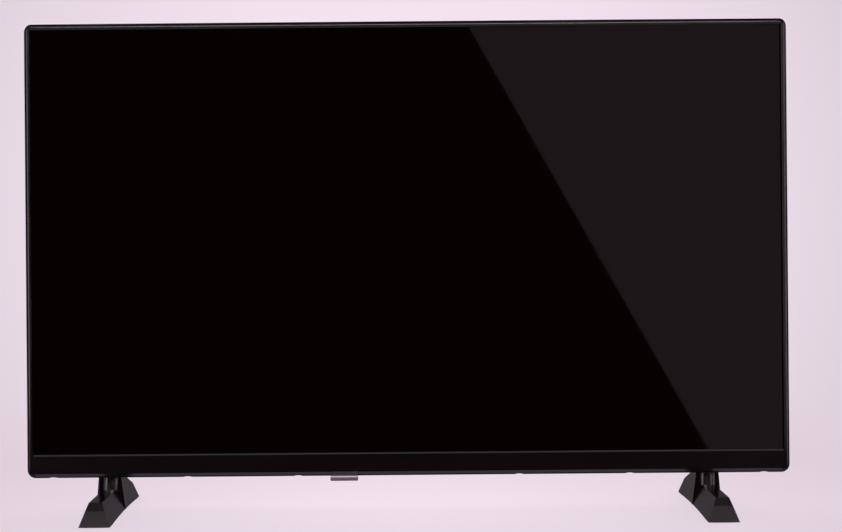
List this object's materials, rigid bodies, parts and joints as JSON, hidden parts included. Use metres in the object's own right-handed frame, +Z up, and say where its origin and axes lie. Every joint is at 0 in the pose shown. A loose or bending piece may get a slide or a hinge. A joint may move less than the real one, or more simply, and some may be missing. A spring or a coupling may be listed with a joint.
{
  "type": "flat screen tv",
  "caption": "Flat screen television with a thin black bezel, a lower trim bar, a sensor window under the bottom edge and bar feet with faceted toes.",
  "frame": {"origin": "on the floor, midway between the feet and at the middle of their length", "axes": "+X to the viewer's right along the width, +Y from the screen to the back, +Z up"},
  "size_m": [0.732, 0.193, 0.473],
  "materials": {
    "bezel": "satin black",
    "black_steel": "black zinc",
    "brass_pin": "plated",
    "bright_steel": "zinc coated",
    "brown_board": "paper laminate",
    "button_plastic": "fine texture",
    "capacitor_sleeve": "sleeve",
    "chip": "epoxy",
    "cone_paper": "pressed paper",
    "cover_plastic": "moulded texture",
    "diffuser": "frosted",
    "driver_steel": "dark",
    "ferrite": "ferrite and tape",
    "flex": "polyimide",
    "foam": "closed-cell foam",
    "foot_plastic": "satin black",
    "green_board": "solder mask",
    "heat_aluminium": "extruded",
    "inner_plastic": "moulded",
    "ivory_plastic": "moulded",
    "led_board": "white solder mask",
    "lens": "clear",
    "optical_film": "frosted",
    "pad_rubber": "matte",
    "plated_steel": "tin plated",
    "reflector": "white",
    "ribbon": "flat cable",
    "screen": "glossy black",
    "sheet_steel": "zinc coated",
    "smoked_plastic": "smoked",
    "socket_plastic": "moulded",
    "speaker_plastic": "moulded",
    "surround_rubber": "soft",
    "switch_plastic": "moulded",
    "trim": "satin black"
  },
  "bodies": {
    "set": {"front_frame": "bezel", "bottom_trim": "trim", "cell_gasket": "foam", "lcd_cell": "screen", "middle_frame": "inner_plastic", "prism_sheet": "optical_film", "diffuser_sheet": "optical_film", "diffuser_plate": "diffuser", "reflector_sheet": "reflector", "led_bars": "led_board", "led_lenses": "lens", "backlight_chassis": "sheet_steel", "chassis_screws": "bright_steel", "source_board": "green_board", "source_films": "flex", "main_board": "green_board", "processor": "chip", "heat_sink": "heat_aluminium", "tuner_can": "plated_steel", "hdmi_sockets": "plated_steel", "usb_socket": "plated_steel", "card_cage": "plated_steel", "audio_jacks": "socket_plastic", "screen_connector": "ivory_plastic", "screen_ribbon": "ribbon", "power_board": "brown_board", "transformer": "ferrite", "capacitors": "capacitor_sleeve", "heat_plates": "heat_aluminium", "mains_inlet": "socket_plastic", "inlet_pins": "brass_pin", "board_screws": "bright_steel", "speaker_box_left": "speaker_plastic", "speaker_box_right": "speaker_plastic", "driver_left": "driver_steel", "driver_right": "driver_steel", "surround_left": "surround_rubber", "surround_right": "surround_rubber", "speaker_gaskets": "foam", "sensor_window": "smoked_plastic", "sensor_board": "green_board", "tact_switch": "switch_plastic", "rear_cover": "cover_plastic", "cover_screws": "black_steel", "wall_posts": "bright_steel", "stand_brackets": "sheet_steel", "foot_left": "foot_plastic", "foot_right": "foot_plastic", "foot_screws": "black_steel", "foot_pads": "pad_rubber"},
    "power_button": {"power_button": "button_plastic", "switch_plunger": "ivory_plastic"},
    "cone_left": {"cone_left": "cone_paper"},
    "cone_right": {"cone_right": "cone_paper"}
  },
  "joints": [
    {"name": "button_press", "type": "slide", "parent": "set", "child": "power_button", "axis": [0, 0, 1], "range_m": [0, 0.0008], "stiffness_N_per_m": 900},
    {"name": "cone_left_stroke", "type": "slide", "parent": "set", "child": "cone_left", "axis": [0, 0, 1], "range_m": [-0.001, 0.001], "stiffness_N_per_m": 800, "deforming": ["surround_left"]},
    {"name": "cone_right_stroke", "type": "slide", "parent": "set", "child": "cone_right", "axis": [0, 0, 1], "range_m": [-0.001, 0.001], "stiffness_N_per_m": 800, "deforming": ["surround_right"]}
  ]
}
